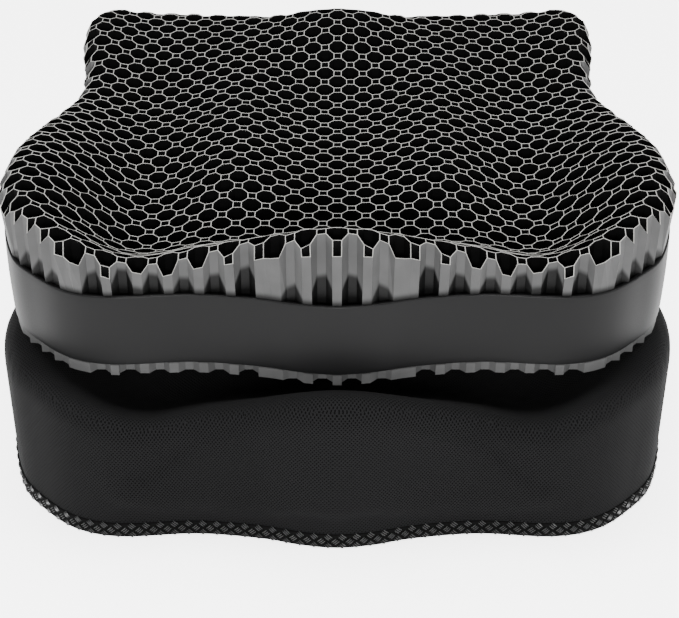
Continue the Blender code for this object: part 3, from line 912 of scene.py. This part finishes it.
PANEL_DOT = 1.5 * MM
PANEL_DOT_HEIGHT = 0.4 * MM
PANEL_DOT_PITCH = 12.0 * MM
PANEL_DOT_SIDES = 8
PANEL_DOT_SECTION = ((1.0, PANEL_DOT_HEIGHT * 1.2), (0.85, PANEL_DOT_HEIGHT * 0.4), (0.45, 0.0))
PANEL_ROUND = 240
PANEL_YARN = 1.6 * MM

panel_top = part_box("bottom_panel")[1].z
rim = plan_outline(STRAIGHT_BACK, COVER_CLEARANCE - SEAM_GAP, PANEL_ROUND)
points = [(x, y, z) for z in (PANEL_DOT_HEIGHT, panel_top) for x, y in rim]
faces = [tuple(reversed(range(PANEL_ROUND))), tuple(range(PANEL_ROUND, 2 * PANEL_ROUND))]
faces += [(k, (k + 1) % PANEL_ROUND, PANEL_ROUND + (k + 1) % PANEL_ROUND, PANEL_ROUND + k)
          for k in range(PANEL_ROUND)]
kinds = [0] * len(faces)
columns, rows = int(WIDTH / 2 / PANEL_DOT_PITCH), int(DEPTH / 2 / PANEL_DOT_PITCH)
spots = np.array([((i + 0.5 * (j % 2)) * PANEL_DOT_PITCH, j * PANEL_DOT_PITCH)
                  for j in range(-rows, rows + 1) for i in range(-columns, columns + 1)])
spots = spots[reach_inside(spots, rim)[0] > 3 * PANEL_DOT]
for x, y in spots:
    base = len(points)
    for share, z in PANEL_DOT_SECTION:
        radius = share * PANEL_DOT
        for k in range(PANEL_DOT_SIDES):
            turn = 2 * math.pi * k / PANEL_DOT_SIDES
            points.append((x + radius * math.cos(turn), y + radius * math.sin(turn), z))
    for level in range(len(PANEL_DOT_SECTION) - 1):
        for k in range(PANEL_DOT_SIDES):
            m = (k + 1) % PANEL_DOT_SIDES
            a, b = base + level * PANEL_DOT_SIDES, base + (level + 1) * PANEL_DOT_SIDES
            faces.append((a + m, a + k, b + k, b + m))
    faces.append(tuple(reversed([base + 2 * PANEL_DOT_SIDES + k for k in range(PANEL_DOT_SIDES)])))
    faces.append(tuple(base + k for k in range(PANEL_DOT_SIDES)))
    kinds += [1] * (len(faces) - len(kinds))


def plain_weave_material(name, pitch, dark, light, roughness):
    """Two sets of yarns crossing over and under, from waves across the object."""
    made = cast_material(name, dark, light, roughness, 2200.0, 30.0, 0.2, 0.2)[0]
    nodes, links = made.node_tree.nodes, made.node_tree.links
    shader = nodes["Principled BSDF"]
    place = nodes.new("ShaderNodeTexCoord")
    split = nodes.new("ShaderNodeSeparateXYZ")
    links.new(place.outputs["Object"], split.inputs["Vector"])
    lines = []
    for axis in ("X", "Y"):
        scaled = nodes.new("ShaderNodeMath")
        scaled.operation = "MULTIPLY"
        scaled.inputs[1].default_value = 2 * math.pi / pitch
        turned = nodes.new("ShaderNodeMath")
        turned.operation = "SINE"
        links.new(split.outputs[axis], scaled.inputs[0])
        links.new(scaled.outputs[0], turned.inputs[0])
        lines.append(turned.outputs[0])
    crossed = nodes.new("ShaderNodeMath")
    crossed.operation = "MULTIPLY"
    links.new(lines[0], crossed.inputs[0])
    links.new(lines[1], crossed.inputs[1])
    relief = nodes.new("ShaderNodeBump")
    relief.inputs["Strength"].default_value = 0.7
    relief.inputs["Distance"].default_value = 0.3 * MM
    links.new(crossed.outputs[0], relief.inputs["Height"])
    links.new(relief.outputs["Normal"], shader.inputs["Normal"])
    return made


under_weave = plain_weave_material("underside weave", PANEL_YARN, (0.012, 0.012, 0.012),
                                   (0.020, 0.020, 0.020), 0.8)
grip = cast_material("grip rubber", (0.020, 0.020, 0.020), (0.030, 0.030, 0.030), 0.5,
                     900.0, 30.0, 0.1, 0.3)[0]
panel = add_piece("grip_panel", points, faces, (under_weave, grip), kinds)
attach(panel, "cover")
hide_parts("bottom_panel")

# ---------------------------------------------------------------------------------------------
# The zip: two woven tapes, each with a nylon coil along its edge, and a plated stop at each end.
# Every turn of a coil is a small bent loop, and the two sets of loops lie between each other.

COIL_PITCH = 1.3 * MM
LOOP_WIDTH = 0.85 * MM
TAPE_YARN = 0.9 * MM
LOOP_SECTION = ((0.0, 0.0), (0.0, 0.75), (0.3, 1.0), (0.8, 1.0), (1.0, 0.7), (1.0, 0.25), (0.8, 0.0))

tape_weave = plain_weave_material("zip tape weave", TAPE_YARN, (0.008, 0.008, 0.008),
                                  (0.014, 0.014, 0.014), 0.8)
nylon = cast_material("zip nylon", (0.012, 0.012, 0.013), (0.020, 0.020, 0.021), 0.35,
                      1200.0, 60.0, 0.1, 0.45)[0]


def coil_loops(node, shift):
    """A row of bent nylon loops over the length of a coil."""
    low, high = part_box(node)
    count = int((high.x - low.x) / COIL_PITCH) - 1
    points, faces = [], []
    corners = len(LOOP_SECTION)
    for k in range(count):
        start = low.x + (k + 0.25 + shift) * COIL_PITCH
        base = len(points)
        for x in (start, start + LOOP_WIDTH):
            for out, up in LOOP_SECTION:
                points.append((x, low.y + out * (high.y - low.y), low.z + up * (high.z - low.z)))
        faces.append(tuple(base + n for n in range(corners)))
        faces.append(tuple(reversed([base + corners + n for n in range(corners)])))
        for n in range(corners):
            m = (n + 1) % corners
            faces.append((base + m, base + n, base + corners + n, base + corners + m))
    return points, faces


for side, shift in (("upper", 0.0), ("lower", 0.5)):
    points, faces = coil_loops("zip_coil_" + side, shift)
    coil = add_piece("nylon_coil_" + side, points, faces, (nylon,))
    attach(coil, "cover")
    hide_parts("zip_coil_" + side)
    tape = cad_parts["zip_tape_" + side]
    tape.material_slots[0].material = tape_weave

# ---------------------------------------------------------------------------------------------
# The zip's metal: stops, slider and puller, die-cast and plated dark.
# The plating is rubbed bright along the edges, where it is handled.


def plated_material(name, dark, worn):
    """Dark plating that shows brighter metal where its edges are rubbed."""
    made, tone = cast_material(name, dark, dark, 0.32, 900.0, 120.0, 0.1, 0.5)
    nodes, links = made.node_tree.nodes, made.node_tree.links
    shader = nodes["Principled BSDF"]
    shader.inputs["Metallic"].default_value = 0.9
    edges = nodes.new("ShaderNodeNewGeometry")
    rubbed = nodes.new("ShaderNodeMapRange")
    rubbed.inputs["From Min"].default_value = 0.52
    rubbed.inputs["From Max"].default_value = 0.62
    mixed = nodes.new("ShaderNodeMix")
    mixed.data_type = "RGBA"
    mixed.inputs["B"].default_value = (*worn, 1.0)
    links.new(edges.outputs["Pointiness"], rubbed.inputs["Value"])
    links.new(rubbed.outputs["Result"], mixed.inputs["Factor"])
    links.new(tone.outputs["Result"], mixed.inputs["A"])
    links.new(mixed.outputs["Result"], shader.inputs["Base Color"])
    return made


plating = plated_material("dark plating", (0.10, 0.10, 0.105), (0.45, 0.45, 0.46))
for name in ("zip_stop_left", "zip_stop_right", "zip_slider", "zip_puller"):
    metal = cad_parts[name]
    metal.material_slots[0].material = plating
